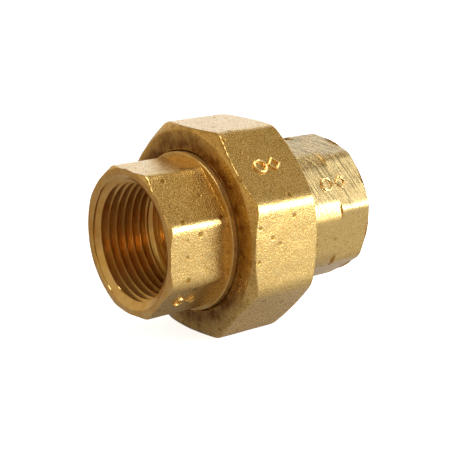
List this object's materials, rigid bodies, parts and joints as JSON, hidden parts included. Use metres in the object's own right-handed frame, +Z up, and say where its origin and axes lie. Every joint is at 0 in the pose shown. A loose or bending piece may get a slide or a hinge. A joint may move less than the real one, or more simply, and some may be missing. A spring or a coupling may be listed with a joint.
{
  "type": "union fitting",
  "caption": "Cast brass pipe union with female pipe threads at both ends, an octagonal union nut and a ground ball-and-cone seat.",
  "frame": {"origin": "on the bore axis, halfway between the two end faces with the nut made up", "axes": "+X along the bore from the tailpiece to the threaded body, +Z up, with the nut standing on its bottom flat"},
  "size_m": [0.0508, 0.0424, 0.0424],
  "materials": {
    "brass": "as cast flats, machined faces, seats and threads"
  },
  "bodies": {
    "threaded_body": {"threaded_body": "brass"},
    "tailpiece": {"tailpiece": "brass"},
    "union_nut": {"union_nut": "brass"}
  },
  "joints": [
    {"name": "tail_slide", "type": "slide", "parent": "threaded_body", "child": "tailpiece", "axis": [-1, 0, 0], "range_m": [0, 0.00953]},
    {"name": "nut_turn", "type": "hinge", "parent": "tailpiece", "child": "union_nut", "pos_m": [0, 0, 0], "axis": [-1, 0, 0], "range_deg": [0, 2160]}
  ],
  "couplings": [
    {"joint": "tail_slide", "follows": "nut_turn", "m_per_rad": 0.00025266}
  ]
}
